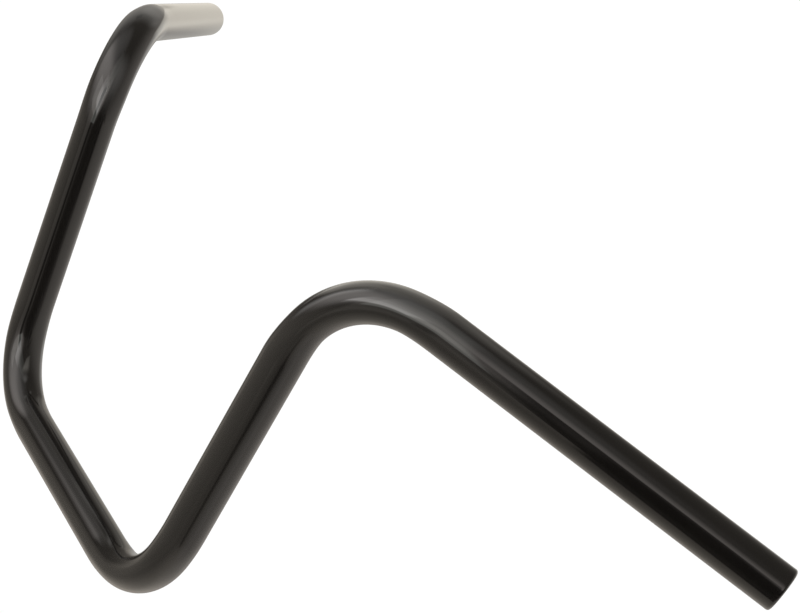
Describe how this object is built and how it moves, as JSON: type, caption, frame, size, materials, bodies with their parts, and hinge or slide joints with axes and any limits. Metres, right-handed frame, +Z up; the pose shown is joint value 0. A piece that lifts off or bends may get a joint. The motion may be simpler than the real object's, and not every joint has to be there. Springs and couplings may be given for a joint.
{
  "type": "ape hanger handlebar",
  "caption": "One-piece motorcycle handlebar bent from round steel tube: straight clamp section, tall risers and swept-back grips, open at both ends.",
  "frame": {"origin": "middle of the clamp section, on the tube's centre line", "axes": "+X across the bike along the clamp section, +Y forward, +Z up; the grips sweep back towards -Y"},
  "size_m": [0.77, 0.1995, 0.2726],
  "materials": {
    "bar_paint": "gloss black paint over smooth steel tube"
  },
  "bodies": {
    "root": {"handlebar": "bar_paint"}
  },
  "joints": []
}
